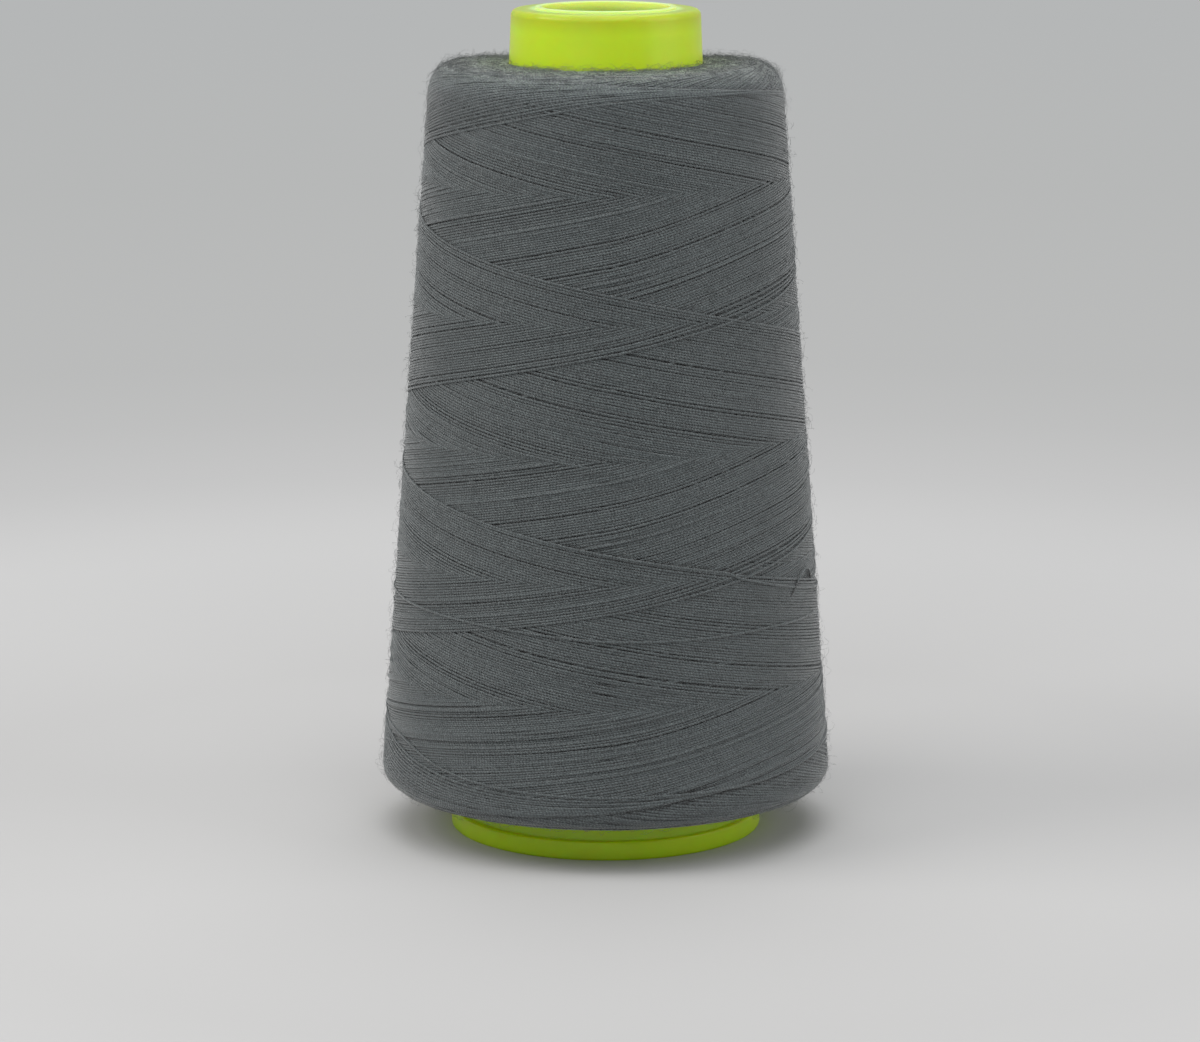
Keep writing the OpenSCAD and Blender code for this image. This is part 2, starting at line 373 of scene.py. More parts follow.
ARC_LAYERS, ARC_GAP = 3, 0.34            # covers of strand on each end face, and between its strands
ARC_MARGIN, ARC_ON_SIDE = 0.2, 2.5      # from a face's inner edge, and past its corner up the side
ARC_SPAN = (90, 260)                    # angle that one arc covers
ARC_OVERLAP = (0.8, 0.95)               # share of it after which the next one starts
ARC_STRAY, ARC_WANDER = 0.05, (150, 0.05)


def face_arcs():
    """Stretches of strand over the end faces and round their corners, as columns and w. They are
    the turning points of layers further in."""
    low_face = (W[0] + ARC_MARGIN, PACKAGE_LOW + LOW_ROUND + ARC_ON_SIDE)
    high_face = (PACKAGE_TOP - TOP_ROUND, W[-1] - ARC_MARGIN)
    arcs = []
    for low, high in (low_face, high_face):
        for _ in range(ARC_LAYERS):
            for w in np.arange(low, high, ARC_GAP):
                turn = rng.uniform(0, 360)
                end = turn + 360
                while turn < end:
                    span = rng.uniform(*ARC_SPAN)
                    count = int(span / SAMPLE)
                    places = w + rng.normal(0, ARC_STRAY) + smooth_noise(count, *ARC_WANDER)
                    arcs.append((int(turn / SAMPLE) + np.arange(count), places))
                    turn += span * rng.uniform(*ARC_OVERLAP)
    rng.shuffle(arcs)
    return arcs


CROSSING_HALF = 0.35     # half the width that a strand is taken to cover in first_crossings
CROSSING_LATE = 0.5      # cycles later at which it covers that width's edge


def first_crossings(samples, w, cycle):
    """Cycle in which each place of the height map is first crossed by these samples."""
    first = np.full(height_map.shape, np.inf)
    rows, _ = rows_at(w)
    half = int(CROSSING_HALF / STEP)
    for offset in range(-half, half + 1):
        at = np.clip(rows + offset, 0, len(W) - 1)
        np.minimum.at(first, (samples % COLUMNS, at), cycle + abs(offset) / half * CROSSING_LATE)
    return np.where(np.isfinite(first), first, np.nan)


PASSES_MM = 1.0          # over which the number of passes is evened out
EARLY_COVERS = 1.15      # covers of strand within which each place is first crossed
AGE_MM, AGE_SAMPLES = 0.4, 8            # over which the ages are evened out
AGE_UNKNOWN = 0.5        # share of a cover taken for places that are never crossed


def start_map(arcs, samples, w):
    """Heights of the package before the first strand that is laid here, such that it is wound
    evenly: low enough for the strands to come, and higher where a strand has just been."""
    every = np.concatenate([p for _, p in arcs] + [w])
    passes = np.bincount(rows_at(every)[0], minlength=len(W)) / (COLUMNS * STEP)
    base = -STRAND_AREA * blur(passes, int(PASSES_MM / STEP))
    cover = PITCH / MEAN_GAP
    cycle = (samples - samples[0]) / (PERIOD / SAMPLE)
    slope = np.gradient(w)
    early = cycle < cover * EARLY_COVERS
    ages = 0
    for way in (1, -1):
        chosen = early & (slope * way > 0)
        first = first_crossings(samples[chosen], w[chosen], cycle[chosen])
        ages = ages + np.nan_to_num(np.minimum(first / cover, 1), nan=AGE_UNKNOWN)
    ages = blur(blur(ages, int(AGE_MM / STEP)), AGE_SAMPLES, axis=0)
    return base + LAYER * (ages - 1)


def wind():
    """Winds the package. Returns each strand as samples of the turn, w and heights."""
    arcs = face_arcs()
    angle, w = route()
    samples = np.round(angle / SAMPLE).astype(int)
    height_map[:] = start_map(arcs, samples, w)
    strands = []
    for turns, places in arcs:
        places = settle(turns % COLUMNS, places)
        strands.append((turns, places, lay(turns % COLUMNS, places)))
    height = np.empty(len(w))
    for first in range(0, len(w), COLUMNS):
        last = min(first + COLUMNS, len(w))
        start, end = max(first - 2 * SLIP_RUN, 0), min(last + 2 * SLIP_RUN, len(w))
        settled = settle(samples[start:end] % COLUMNS, w[start:end])
        w[first:last] = settled[first - start:last - start]
        height[first:last] = lay(samples[first:last] % COLUMNS, w[first:last])
    strands.append((samples, w, height))
    return strands


# ---------------------------------------------------------------- tubes

SIDES = 6
RING_SAMPLES = 8         # samples from one ring of a tube to the next
GRAIN_START = (0, 50)    # where along the thread's pattern of fibres a tube may start


def runs(flags, least):
    """Start and end of each stretch of true flags."""
    edges = np.flatnonzero(np.diff(np.concatenate([[0], flags.astype(np.int8), [0]])))
    return [(a, b) for a, b in zip(edges[::2], edges[1::2]) if b - a >= least]


def widen(flags, by):
    """Flags made true also within by samples of a true one."""
    counts = np.convolve(flags, np.ones(2 * by + 1), "same")
    return counts > 0.5


def tube_arrays(centres, normals, half_width, half_thick, sides):
    """Vertices and quads of one tube with closed ends. It has 4 or 6 sides."""
    along = np.gradient(centres, axis=0)
    along /= np.linalg.norm(along, axis=1)[:, None]
    across = np.cross(normals, along)
    across /= np.linalg.norm(across, axis=1)[:, None]
    up = np.cross(along, across)
    a = 2 * np.pi * np.arange(sides) / sides
    side = np.cos(a)[None, :, None] * across[:, None] * half_width
    rise = np.sin(a)[None, :, None] * up[:, None] * half_thick
    vertices = (centres[:, None] + side + rise).reshape(-1, 3)
    ring = np.arange(len(centres) - 1)[:, None] * sides
    k = np.arange(sides)
    n = (k + 1) % sides
    quads = np.stack([ring + k, ring + n, ring + sides + n, ring + sides + k], -1).reshape(-1, 4)
    caps = np.array([[3, 2, 1, 0], [5, 4, 3, 0]])[:sides // 2 - 1]
    last = (len(centres) - 1) * sides
    return vertices, np.vstack([quads, caps, caps[:, ::-1] + last])


class StrandMesh:
    """Collects tubes, and makes one mesh object of them."""

    def __init__(self):
        self.vertices, self.quads = [], []
        self.along, self.across, self.tint, self.buried = [], [], [], []
        self.count = 0

    def add(self, centres, normals, tint, half_width=HALF_WIDTH, half_thick=HALF_THICK,
            sides=SIDES, buried=0.0):
        vertices, quads = tube_arrays(centres, normals, half_width, half_thick, sides)
        lengths = np.concatenate([[0], np.cumsum(np.linalg.norm(np.diff(centres, axis=0), axis=1))])
        self.vertices.append(vertices)
        self.quads.append(quads + self.count)
        self.along.append(np.repeat(lengths + rng.uniform(*GRAIN_START), sides))
        self.across.append(np.tile(np.cos(2 * np.pi * np.arange(sides) / sides), len(centres)))
        # the strands' own tone, with painted light added on the top face, by the nose and on the newest
        # turns
        self.tint.append(np.repeat(np.broadcast_to(tint, len(centres)), sides))
        self.buried.append(np.repeat(np.broadcast_to(buried, len(centres)), sides))
        self.count += len(vertices)

    def faces(self):
        return 2 * sum(len(q) for q in self.quads)

    def make(self, name, material):
        mesh = mesh_from_arrays(name, np.vstack(self.vertices), np.vstack(self.quads))
        for key, parts in (
                ("along", self.along), ("across", self.across),
                ("tint", self.tint), ("buried", self.buried)):
            layer = mesh.attributes.new(key, "FLOAT", "POINT")
            layer.data.foreach_set("value", np.concatenate(parts).astype(np.float32))
        return new_piece(name, mesh, material)


def mesh_from_arrays(name, vertices, quads):
    """A mesh from vertices in millimetres and quads."""
    mesh = bpy.data.meshes.new(name)
    mesh.vertices.add(len(vertices))
    mesh.vertices.foreach_set("co", (np.asarray(vertices) * MM).astype(np.float32).ravel())
    mesh.loops.add(quads.size)
    mesh.loops.foreach_set("vertex_index", quads.astype(np.int32).ravel())
    mesh.polygons.add(len(quads))
    mesh.polygons.foreach_set("loop_start", np.arange(0, quads.size, 4, dtype=np.int32))
    mesh.polygons.foreach_set("use_smooth", np.full(len(quads), True))
    mesh.update(calc_edges=True)
    mesh.validate()
    return mesh


def new_piece(name, mesh, material):
    piece = bpy.data.objects.new(name, mesh)
    bpy.context.scene.collection.objects.link(piece)
    mesh.materials.append(material)
    return piece


# ---------------------------------------------------------------- materials

class Nodes:
    """Builds a material's node tree with short calls."""

    def __init__(self, name):
        self.material = bpy.data.materials.new(name)
        self.material.use_nodes = True
        self.tree = self.material.node_tree
        self.tree.nodes.clear()
        self.output = self.tree.nodes.new("ShaderNodeOutputMaterial")

    def add(self, kind, values=(), **settings):
        node = self.tree.nodes.new("ShaderNode" + kind)
        for key, value in settings.items():
            setattr(node, key, value)
        for key, value in dict(values).items():
            node.inputs[key].default_value = value
        return node

    def link(self, source, target):
        self.tree.links.new(source, target)

    def maths(self, operation, a, b=0.0):
        node = self.add("Math", operation=operation)
        for socket, value in zip(node.inputs, (a, b)):
            if isinstance(value, (int, float)):
                socket.default_value = value
            else:
                self.link(value, socket)
        return node.outputs[0]

    def smooth_range(self, value, start, full):
        """From 0 at start to 1 at full, smoothly."""
        node = self.add("MapRange", {"From Min": start, "From Max": full}, interpolation_type="SMOOTHSTEP")
        self.link(value, node.inputs["Value"])
        return node.outputs[0]

    def ramp(self, value, stops):
        node = self.add("ValToRGB")
        elements = node.color_ramp.elements
        while len(elements) < len(stops):
            elements.new(0.5)
        for element, (position, colour) in zip(elements, stops):
            element.position, element.color = position, (*colour, 1)
        self.link(value, node.inputs[0])
        return node.outputs[0]


THREAD_DARK, THREAD_LIGHT = (0.0062, 0.0072, 0.0077), (0.117, 0.140, 0.145)
# painted light: the pale, greenish colour of the top face next to the cone, for light from above and light
# bounced off the green plastic
THREAD_PAINTED_GLOW = (0.31, 0.40, 0.28)
DARK_SHADE, LIGHT_SHADE = 0.44, 0.97    # shades at which the first two colours are reached
SHADE_SCALE = 0.75       # brings the shade of top-face thread with painted light below 1, where a ramp ends
TWIST_LAY = 0.44         # from one ply of the thread to the next, along it
TWIST_SLANT = 1.6        # how far a ply turns from the tube's middle to its edge, in radians
TWIST_WAVER = 7.0        # and with the fibres' pattern
FIBRE_SCALE = (3.4, 2.0, 40.0)          # of the fibres' pattern: along, across, from strand to strand
FIBRE_SHARE, TWIST_SHARE, TINT_SHARE = 1.15, 0.2, 0.14  # of a strand's shade
GAP_SHADE_SHARE, EDGE_SHADE_SHARE = 0.45, 0.08   # painted shade: how much of their shade a strand deep in a gap and a strand's edges lose
BUMP_FIBRES = 1.2        # height of the fibres against that of the plies


def thread_material():
    n = Nodes("sewing_thread")
    along = n.add("Attribute", attribute_name="along").outputs["Fac"]
    across = n.add("Attribute", attribute_name="across").outputs["Fac"]
    tint = n.add("Attribute", attribute_name="tint").outputs["Fac"]
    buried = n.add("Attribute", attribute_name="buried").outputs["Fac"]
    fibre_place = n.add("CombineXYZ")
    for value, scale, socket in zip((along, across, tint), FIBRE_SCALE, fibre_place.inputs):
        n.link(n.maths("MULTIPLY", value, scale), socket)
    fibres = n.add("TexNoise", {"Scale": 1.0, "Detail": 2.0, "Roughness": 0.6})
    n.link(fibre_place.outputs[0], fibres.inputs["Vector"])
    turn = n.maths("MULTIPLY", along, 2 * math.pi / TWIST_LAY)
    turn = n.maths("ADD", turn, n.maths("MULTIPLY", across, TWIST_SLANT))
    turn = n.maths("ADD", turn, n.maths("MULTIPLY", fibres.outputs["Fac"], TWIST_WAVER))
    twist = n.maths("ADD", n.maths("MULTIPLY", n.maths("SINE", turn), 0.5), 0.5)
    shade = n.maths("MULTIPLY", fibres.outputs["Fac"], FIBRE_SHARE)
    shade = n.maths("ADD", shade, n.maths("MULTIPLY", twist, TWIST_SHARE))
    shade = n.maths("ADD", shade, n.maths("MULTIPLY", tint, TINT_SHARE))
    # painted shade: strands lying deep in gaps, and the edges of every strand, are darkened
    shade = n.maths("SUBTRACT", shade, n.maths("MULTIPLY", buried, GAP_SHADE_SHARE))
    # painted shade between neighbouring strands, along each strand's edges
    edge = n.maths("POWER", n.maths("ABSOLUTE", across), 2.0)
    shade = n.maths("SUBTRACT", shade, n.maths("MULTIPLY", edge, EDGE_SHADE_SHARE))
    colour = n.ramp(n.maths("MULTIPLY", shade, SHADE_SCALE), [
        (DARK_SHADE * SHADE_SCALE, THREAD_DARK), (LIGHT_SHADE * SHADE_SCALE, THREAD_LIGHT),
        (1.0, THREAD_PAINTED_GLOW)])
    bump = n.add("Bump", {"Strength": 0.8, "Distance": 0.04 * MM})
    relief = n.maths("ADD", twist, n.maths("MULTIPLY", fibres.outputs["Fac"], BUMP_FIBRES))
    n.link(relief, bump.inputs["Height"])
    shader = n.add("BsdfPrincipled", {
        "Roughness": 0.38, "Specular IOR Level": 0.5,
        "Sheen Weight": 0.6, "Sheen Roughness": 0.35})
    n.link(colour, shader.inputs["Base Color"])
    n.link(bump.outputs[0], shader.inputs["Normal"])
    n.link(shader.outputs[0], n.output.inputs[0])
    return n.material


CORE_DARK, CORE_LIGHT = (0.045, 0.052, 0.055), (0.075, 0.086, 0.090)


def core_material():
    n = Nodes("thread_core")
    coordinates = n.add("TexCoord")
    noise = n.add("TexNoise", {"Scale": 900.0, "Detail": 2.0})
    n.link(coordinates.outputs["Object"], noise.inputs["Vector"])
    colour = n.ramp(noise.outputs["Fac"], [(0.3, CORE_DARK), (0.7, CORE_LIGHT)])
    shader = n.add("BsdfPrincipled", {"Roughness": 0.9, "Specular IOR Level": 0.1})
    n.link(colour, shader.inputs["Base Color"])
    n.link(shader.outputs[0], n.output.inputs[0])
    return n.material


# PLASTIC_FOOT_SHADE is painted shade: the foot is darker where the package shades it
PLASTIC_FOOT_SHADE, PLASTIC = (0.55, 0.78, 0.005), (0.61, 0.81, 0.017)
PLASTIC_RIM_SHADE, PLASTIC_PLATE_GLOW = (0.32, 0.45, 0.01), (0.53, 0.77, 0.24)     # painted shade darkens the rim; a painted glow and reflection make the top plate paler and bluer
FOOT_END, SHANK_START, RIM_START = 4.0, 12.0, 108.5     # heights at which a colour starts to turn
PLATE_START, PLATE_FULL = 10.8, 9.6                     # distances from the axis, for the top plate
SHANK_SHARE, RIM_SHARE, PLATE_SHARE = 0.1, 0.5, 0.4     # of the ramp, from each colour to the next
MOTTLE = 0.15            # how much the ramp's place varies


def plastic_material():
    n = Nodes("cone_plastic")
    coordinates = n.add("TexCoord")
    noise = n.add("TexNoise", {"Scale": 160.0, "Detail": 3.0})
    n.link(coordinates.outputs["Object"], noise.inputs["Vector"])
    height = n.add("SeparateXYZ")
    n.link(coordinates.outputs["Object"], height.inputs[0])
    flat = n.add("CombineXYZ")
    n.link(height.outputs["X"], flat.inputs[0])
    n.link(height.outputs["Y"], flat.inputs[1])
    radius = n.add("VectorMath", operation="LENGTH")
    n.link(flat.outputs[0], radius.inputs[0])
    # painted shade on the foot and rim, and a painted glow and reflection on the top plate
    zones = 0.0
    for source, start, full, share in (
            (height.outputs["Z"], FOOT_END, SHANK_START, SHANK_SHARE),
            (height.outputs["Z"], RIM_START, CONE_H, RIM_SHARE),
            (radius.outputs["Value"], PLATE_START, PLATE_FULL, PLATE_SHARE)):
        zone = n.smooth_range(source, start * MM, full * MM)
        zones = n.maths("ADD", n.maths("MULTIPLY", zone, share), zones)
    mottle = n.maths("MULTIPLY", n.maths("SUBTRACT", noise.outputs["Fac"], 0.5), MOTTLE)
    colour = n.ramp(n.maths("ADD", zones, mottle), [
        (0.0, PLASTIC_FOOT_SHADE), (SHANK_SHARE, PLASTIC), (SHANK_SHARE + RIM_SHARE, PLASTIC_RIM_SHADE),
        (1.0, PLASTIC_PLATE_GLOW)])
    bump = n.add("Bump", {"Strength": 0.15, "Distance": 0.05 * MM})
    n.link(noise.outputs["Fac"], bump.inputs["Height"])
    shader = n.add("BsdfPrincipled", {
        "Roughness": 0.32, "Specular IOR Level": 0.38,
        "Subsurface Weight": 1.0, "Subsurface Scale": 4 * MM, "Subsurface Radius": (1.6, 0.8, 0.3)})
    n.link(colour, shader.inputs["Base Color"])
    n.link(bump.outputs[0], shader.inputs["Normal"])
    n.link(shader.outputs[0], n.output.inputs[0])
    return n.material


# ---------------------------------------------------------------- build the thread

strands = wind()
TRIM_MM, TRIM_DEGREES = 1.2, 14                 # over which the surface's smooth shape is taken
LOW_TRIM_MM, LOW_TRIM_RUN = 0.5, (20.0, 12.0)   # the turns near the low end lie evener than the rest
TRIM_LIFT = 0.05                                # how far above the strands' mean height the profile is


def smooth_step(x, start, full):
    t = np.clip((x - start) / (full - start), 0, 1)
    return t * t * (3 - 2 * t)


def surface_trim():
    """The wound surface's smooth shape, which is taken off so that the package keeps its profile."""
    half = int(TRIM_DEGREES / SAMPLE)
    wrapped = np.concatenate([height_map[-half:], height_map, height_map[:half]])
    smooth = blur(wrapped, half, axis=0)[half:-half]
    share = smooth_step(W, *LOW_TRIM_RUN)
    smooth = (1 - share) * blur(smooth, int(TRIM_MM / STEP)) + share * blur(smooth, int(LOW_TRIM_MM / STEP))
    return smooth + (height_map - smooth).mean(0) + TRIM_LIFT


trim = surface_trim()
NEARBY_MM, NEARBY_SAMPLES = 0.6, 4              # over which a strand's neighbours are taken
nearby = blur(blur(height_map, int(NEARBY_MM / STEP)), NEARBY_SAMPLES, axis=0)
hair_roots = []                                 # places and angles of the strands that show

BACK_DIP, DIP_START, DIP_FULL = 0.55, 112, 140  # how much lower the top face is at the back, and where
TOP_FADE = 4                                    # over which the side turns into the top face
TOP_PAINTED_LIGHT, NOSE_PAINTED_GLOW = 1.40, 3.0                 # painted light: how much paler the top face is painted for light from above, and more by the nose, a painted green glow of light bounced off the cone
NOSE_RUN = (W[-1] - 7, W[-1] - 1)
GAP_SHADE_FROM, GAP_SHADE_DEPTH = 0.07, 0.16          # how far below its neighbours a strand in a gap starts to get painted shade, and the depth at which that shade is full
LOW_RELIEF, TOP_RELIEF = 0.22, 0.20             # the end faces are felted: their strands stand out less
LOW_RUN, TOP_RUN = 9.0, 5.5                     # over this much of the side that comes in
NEWEST_TURNS, NEWEST_PAINTED_LIGHT = 9, 0.35             # the last turns stand clear of the rest, and get a painted highlight that makes them paler
PROUD_TURNS, NEWEST_TOP = 13, 60.0              # and these keep their full relief below this height
SHOW_MARGIN, SHORTEST_RUN = 8, 12               # samples added at each end of a run, and the least in one
TINT_MEAN, TINT_WANDERS = 0.5, ((2400, 0.14), (200, 0.05))      # of the strands' own shades


def on_top(w):
    """From 0 on the side to 1 on the top face."""
    return smooth_step(w, PACKAGE_TOP - TOP_ROUND, PACKAGE_TOP - TOP_ROUND + TOP_FADE)


def face_dip(w, angle):
    """How far the top face has sunk at this place."""
    from_front = np.abs((angle + 180) % 360 - 180)
    return BACK_DIP * on_top(w) * smooth_step(from_front, DIP_START, DIP_FULL)


def build_run(mesh, samples, places, heights, tint, newest):
    """Adds one visible stretch of strand to a mesh."""
    pick = np.unique(np.append(np.arange(0, len(samples), RING_SAMPLES), len(samples) - 1))
    rows, _ = rows_at(places[pick])
    low, high = PACKAGE_LOW + LOW_ROUND, PACKAGE_TOP - TOP_ROUND
    relief = np.interp(
        places[pick], [low, low + LOW_RUN, high - TOP_RUN, high], [LOW_RELIEF, 1, 1, TOP_RELIEF])
    relief = np.where(newest[pick] & (places[pick] < NEWEST_TOP), 1, relief)
    level = relief * (heights[pick] + HALF_THICK - trim[samples[pick] % COLUMNS, rows]) - HALF_THICK
    level = level - face_dip(places[pick], samples[pick] * SAMPLE)
    centres, normals = place(places[pick], samples[pick] * SAMPLE, level)
    below = nearby[samples[pick] % COLUMNS, rows] - heights[pick] - HALF_THICK
    # painted light: the top face is painted paler, and greenish by the nose, for light from above and from
    # the cone
    tint = tint + TOP_PAINTED_LIGHT * on_top(places[pick]) + NOSE_PAINTED_GLOW * smooth_step(places[pick], *NOSE_RUN)
    # painted shade on strands lying deep in gaps between their neighbours
    buried = np.sqrt(relief) * np.clip((below - GAP_SHADE_FROM) / GAP_SHADE_DEPTH, 0, 1)
    mesh.add(centres, normals, tint, buried=buried)
    hair_roots.append((places[pick], samples[pick] * SAMPLE))


def strand_runs():
    """Samples, w, heights and tone of every stretch that shows, with painted light on the newest turns, and
    where it is one of the newest.
    """
    newest_end = max(samples[-1] for samples, _, _ in strands)
    for samples, places, heights in strands:
        flags = widen(showing(samples % COLUMNS, places, heights), SHOW_MARGIN)
        tints = sum((smooth_noise(len(places), *wander) for wander in TINT_WANDERS), TINT_MEAN)
        newest = np.zeros(len(samples), bool)
        if samples[-1] >= newest_end:
            # painted highlight: the newest turns are painted paler
            tints[samples > samples[-1] - NEWEST_TURNS * COLUMNS] += NEWEST_PAINTED_LIGHT
            newest = samples > samples[-1] - PROUD_TURNS * COLUMNS
        for s, e in runs(flags, SHORTEST_RUN):
            yield samples[s:e], places[s:e], heights[s:e], float(np.clip(tints[s], 0, 1)), newest[s:e]


TUCK_R, TUCK_STEP = 29, 0.2                     # of the package there, and from ring to ring
TUCK_TINT, TUCK_HALF = 0.75, 0.15


def tuck_path():
    """Points, normals and depth of painted shade of the thread's end, which comes up in a small loop and
    goes under older turns."""
    points = np.array(TUCK)
    steps = np.concatenate([[0], np.cumsum(np.hypot(
        np.radians(np.diff(points[:, 0])) * TUCK_R, np.hypot(*np.diff(points[:, 1:], axis=0).T)))])
    at = np.arange(0, steps[-1], TUCK_STEP)
    path = through(np.column_stack([steps, points]), at)
    base = [place(path[i:i + 1, 1], path[i:i + 1, 0], path[i:i + 1, 2]) for i in range(len(path))]
    # painted shade where the end lies sunk among its neighbours
    sunk = np.clip((TUCK_SHADE - path[:, 2]) / TUCK_SHADE, 0, 1)
    return np.vstack([b[0] for b in base]), np.vstack([b[1] for b in base]), sunk


MAX_FACES = 180_000      # of one piece, in triangles
thread = thread_material()
pieces = []
mesh = StrandMesh()
for run in strand_runs():
    if mesh.faces() > MAX_FACES:
        pieces.append(mesh.make(f"thread_strands_{len(pieces) + 1}", thread))
        mesh = StrandMesh()
    build_run(mesh, *run)
pieces.append(mesh.make(f"thread_strands_{len(pieces) + 1}", thread))
mesh = StrandMesh()
centres, normals, sunk = tuck_path()
mesh.add(centres, normals, TUCK_TINT, TUCK_HALF, TUCK_HALF, buried=sunk)
pieces.append(mesh.make("thread_end", thread))

HAIRS = 22000
TOP_HAIRS, TOP_DEPTH = 0.34, 1.5        # share of them on the top face and its rim, and how far that goes
HAIR_R = (0.008, 0.013)
HAIR_LENGTH = (0.5, 2.4)
HAIR_RISE, LEAST_RISE, MOST_RISE = 0.26, 0.05, 1.3
HAIR_BEND = (0.5, 1.0)                  # half turns from root to tip: 1 brings the tip back down
HAIR_HEADING, HAIR_CURL = 0.6, 0.5      # spread of its course from the strand's, in radians
HAIR_ROOT = 0.04                        # how far below the strands' surface it starts
HAIR_TINT = (0.6, 1.0)
HAIR_POINTS = 4
HAIR_SIDES = 4


def hair_places():
    """Profile places and angles from which loose fibres start."""
    w = np.concatenate([r[0] for r in hair_roots])
    angle = np.concatenate([r[1] for r in hair_roots])
    top = w > PACKAGE_TOP - TOP_DEPTH
    weight = np.where(top, TOP_HAIRS / top.sum(), (1 - TOP_HAIRS) / (~top).sum())
    chosen = rng.choice(len(w), HAIRS, p=weight)
    return w[chosen], angle[chosen]


def add_hair(mesh, w, angle):
    """A loose fibre that stands off the thread: most are nearly flat, some are small loops."""
    length = rng.uniform(*HAIR_LENGTH)
    rise = min(rng.exponential(HAIR_RISE) + LEAST_RISE, MOST_RISE)
    bend = rng.uniform(*HAIR_BEND)
    heading = rng.normal(0, HAIR_HEADING) + (math.pi if rng.random() < 0.5 else 0)
    curl = rng.normal(0, HAIR_CURL)
    t = np.linspace(0, 1, HAIR_POINTS)
    course = heading + curl * t
    degrees = np.degrees(length * t * np.cos(course) / np.interp(w, W, R))
    lift = rise * np.sin(np.pi * bend * t) - HAIR_ROOT - face_dip(w, angle)
    centres, normals = place(w + length * t * np.sin(course), angle + degrees, lift)
    radius = rng.uniform(*HAIR_R)
    mesh.add(centres, normals, rng.uniform(*HAIR_TINT), radius, radius, HAIR_SIDES)


mesh = StrandMesh()
fuzz = []
for root in zip(*hair_places()):
    if mesh.faces() > MAX_FACES:
        fuzz.append(mesh.make(f"thread_fuzz_{len(fuzz) + 1}", thread))
        mesh = StrandMesh()
    add_hair(mesh, *root)
fuzz.append(mesh.make(f"thread_fuzz_{len(fuzz) + 1}", thread))


CORE_DEPTH, CORE_TOP_DEPTH = 0.42, 0.1  # below the profile, and further down under the top face
CORE_GAP = 0.2                          # to the shank
CORE_ROWS, CORE_TURNS = 6, 180          # rows of the profile's table to one of the core's, and its columns


def core_piece():
    """The body of thread below the strands, closed round the shank."""
    keep = np.arange(0, len(W), CORE_ROWS)
    keep = np.append(keep, len(W) - 1)
    depth = CORE_DEPTH + (BACK_DIP + CORE_TOP_DEPTH) * on_top(W[keep])
    r, z = R[keep] - NORMAL_R[keep] * depth, Z[keep] - NORMAL_Z[keep] * depth
    inner = [(shank_r(z[-1]) + CORE_GAP, z[-1]), (shank_r(z[0]) + CORE_GAP, z[0])]
    ring = np.vstack([np.column_stack([r, z]), inner])
    turns = CORE_TURNS
    a = 2 * np.pi * np.arange(turns) / turns
    vertices = np.stack([
        ring[:, 0][:, None] * np.sin(a), -ring[:, 0][:, None] * np.cos(a),
        np.repeat(ring[:, 1][:, None], turns, 1)], -1).reshape(-1, 3)
    i, j = np.meshgrid(np.arange(len(ring)), np.arange(turns), indexing="ij")
    i2, j2 = (i + 1) % len(ring), (j + 1) % turns
    quads = np.stack([i * turns + j, i * turns + j2, i2 * turns + j2, i2 * turns + j], -1).reshape(-1, 4)
    return new_piece("thread_core", mesh_from_arrays("thread_core", vertices, quads), core_material())


core = core_piece()
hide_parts("thread_package")
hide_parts("outer_winding")
for piece in [core, *pieces, *fuzz]:
    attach(piece, BODY)

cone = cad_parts["plastic_cone"]
cone.data.materials.clear()
cone.data.materials.append(plastic_material())

# ---------------------------------------------------------------- stage

FLOOR_PAINTED_LIGHT = (                               # distance in metres, and grey of the floor there: painted light, paler near the object where its shadow falls and again further back
    (0.03, (0.53, 0.53, 0.53)), (0.10, (0.49, 0.49, 0.49)), (0.19, (0.515, 0.517, 0.519)))
SWEEP_START, SWEEP_FULL = 0.19, 0.27    # distance from the object at which the floor turns into backdrop
BACKDROP_GLOW = (                            # distance in metres, and grey that the backdrop glows there: a painted falloff of light, paler near the floor
    (0.20, (0.605, 0.605, 0.605)), (0.27, (0.56, 0.56, 0.56)), (0.33, (0.52, 0.522, 0.521)),
    (0.40, (0.495, 0.499, 0.497)), (0.75, (0.473, 0.480, 0.478)), (1.40, (0.462, 0.472, 0.474)))
BACKDROP_FAR = 1.5
FLOOR_SIZE = 40
WORLD_LIGHT = 0.28
WORLD_SEEN = (0.462, 0.472, 0.474)      # colour of the world behind the floor's edge and in reflections


def floor_material():
    n = Nodes("floor")
    geometry = n.add("NewGeometry")
    length = n.add("VectorMath", operation="LENGTH")
    n.link(geometry.outputs["Position"], length.inputs[0])
    away = n.smooth_range(length.outputs["Value"], SWEEP_START, SWEEP_FULL)
    share = n.maths("DIVIDE", length.outputs["Value"], BACKDROP_FAR)
    backdrop = n.ramp(share, [(d / BACKDROP_FAR, colour) for d, colour in BACKDROP_GLOW])
    diffuse = n.add("BsdfDiffuse")
    ground = n.ramp(length.outputs["Value"], FLOOR_PAINTED_LIGHT)
    n.link(ground, diffuse.inputs["Color"])
    emission = n.add("Emission", {"Strength": 1.0})
    n.link(backdrop, emission.inputs["Color"])
    mix = n.add("MixShader")
    n.link(away, mix.inputs[0])
    n.link(diffuse.outputs[0], mix.inputs[1])
    n.link(emission.outputs[0], mix.inputs[2])
    n.link(mix.outputs[0], n.output.inputs[0])
    return n.material


bpy.ops.mesh.primitive_plane_add(size=FLOOR_SIZE)
floor = bpy.context.object
floor.name = "floor"
floor.data.materials.append(floor_material())


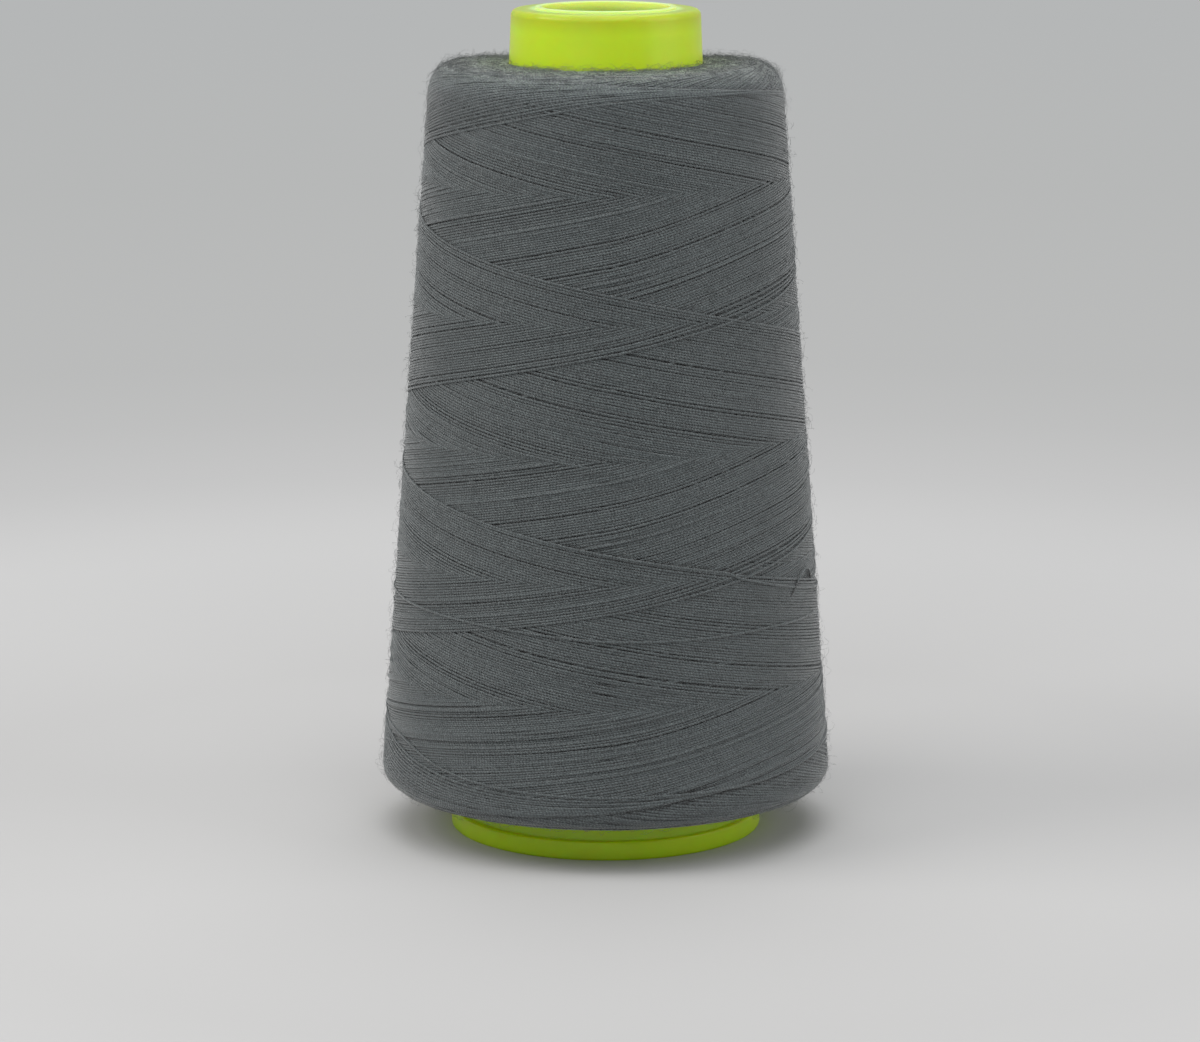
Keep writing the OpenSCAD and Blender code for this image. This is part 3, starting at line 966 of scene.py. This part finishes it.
def world_light():
    world = bpy.data.worlds.new("studio")
    world.use_nodes = True
    tree = world.node_tree
    tree.nodes.clear()
    out = tree.nodes.new("ShaderNodeOutputWorld")
    light = tree.nodes.new("ShaderNodeBackground")
    light.inputs[0].default_value = (1, 1, 1, 1)
    light.inputs[1].default_value = WORLD_LIGHT
    seen = tree.nodes.new("ShaderNodeBackground")
    seen.inputs[0].default_value = (*WORLD_SEEN, 1)
    path = tree.nodes.new("ShaderNodeLightPath")
    mix = tree.nodes.new("ShaderNodeMixShader")
    rays = path.outputs["Is Camera Ray"]
    for kind in ("Is Glossy Ray", "Is Transmission Ray"):
        either = tree.nodes.new("ShaderNodeMath")
        either.operation = "ADD"
        either.use_clamp = True
        tree.links.new(rays, either.inputs[0])
        tree.links.new(path.outputs[kind], either.inputs[1])
        rays = either.outputs[0]
    tree.links.new(rays, mix.inputs[0])
    tree.links.new(light.outputs[0], mix.inputs[1])
    tree.links.new(seen.outputs[0], mix.inputs[2])
    tree.links.new(mix.outputs[0], out.inputs[0])
    bpy.context.scene.world = world


world_light()

AIM_HEIGHT = 0.05        # in metres, of the point that every lamp faces
LAMPS = (                # name, angle round from the front, angle up, distance, width, watts, colour
    ("lamp_top", 0, 90, 0.90, 1.0, 3.2, (1, 1, 1)),
    ("lamp_top_front", 0, 55, 0.95, 0.7, 2.9, (1, 1, 1)),
    ("lamp_back", 180, 55, 0.95, 0.7, 2.2, (1, 1, 1)),
    ("lamp_left", -76, 38, 0.90, 0.55, 3.5, (1, 0.975, 0.95)),
    ("lamp_right", 75, 24, 0.90, 0.7, 2.6, (1, 1, 1)),
    ("lamp_front_left", -30, 20, 1.00, 0.6, 0.8, (1, 1, 1)))


def area_lamp(name, spot, size, energy, colour):
    data = bpy.data.lights.new(name, "AREA")
    data.size = size
    data.energy = energy
    data.color = colour
    lamp = bpy.data.objects.new(name, data)
    lamp.location = spot
    lamp.rotation_euler = (Vector((0, 0, AIM_HEIGHT)) - Vector(spot)).to_track_quat("-Z", "Y").to_euler()
    bpy.context.scene.collection.objects.link(lamp)


def lamp_place(side, up, distance):
    """Place of a lamp, from its angles round from the front and up from level."""
    side, up = math.radians(side), math.radians(up)
    return (
        distance * math.cos(up) * math.sin(side), -distance * math.cos(up) * math.cos(side),
        AIM_HEIGHT + distance * math.sin(up))


for name, side, up, distance, size, energy, colour in LAMPS:
    area_lamp(name, lamp_place(side, up, distance), size, energy, colour)

bpy.context.scene.view_settings.view_transform = "Standard"
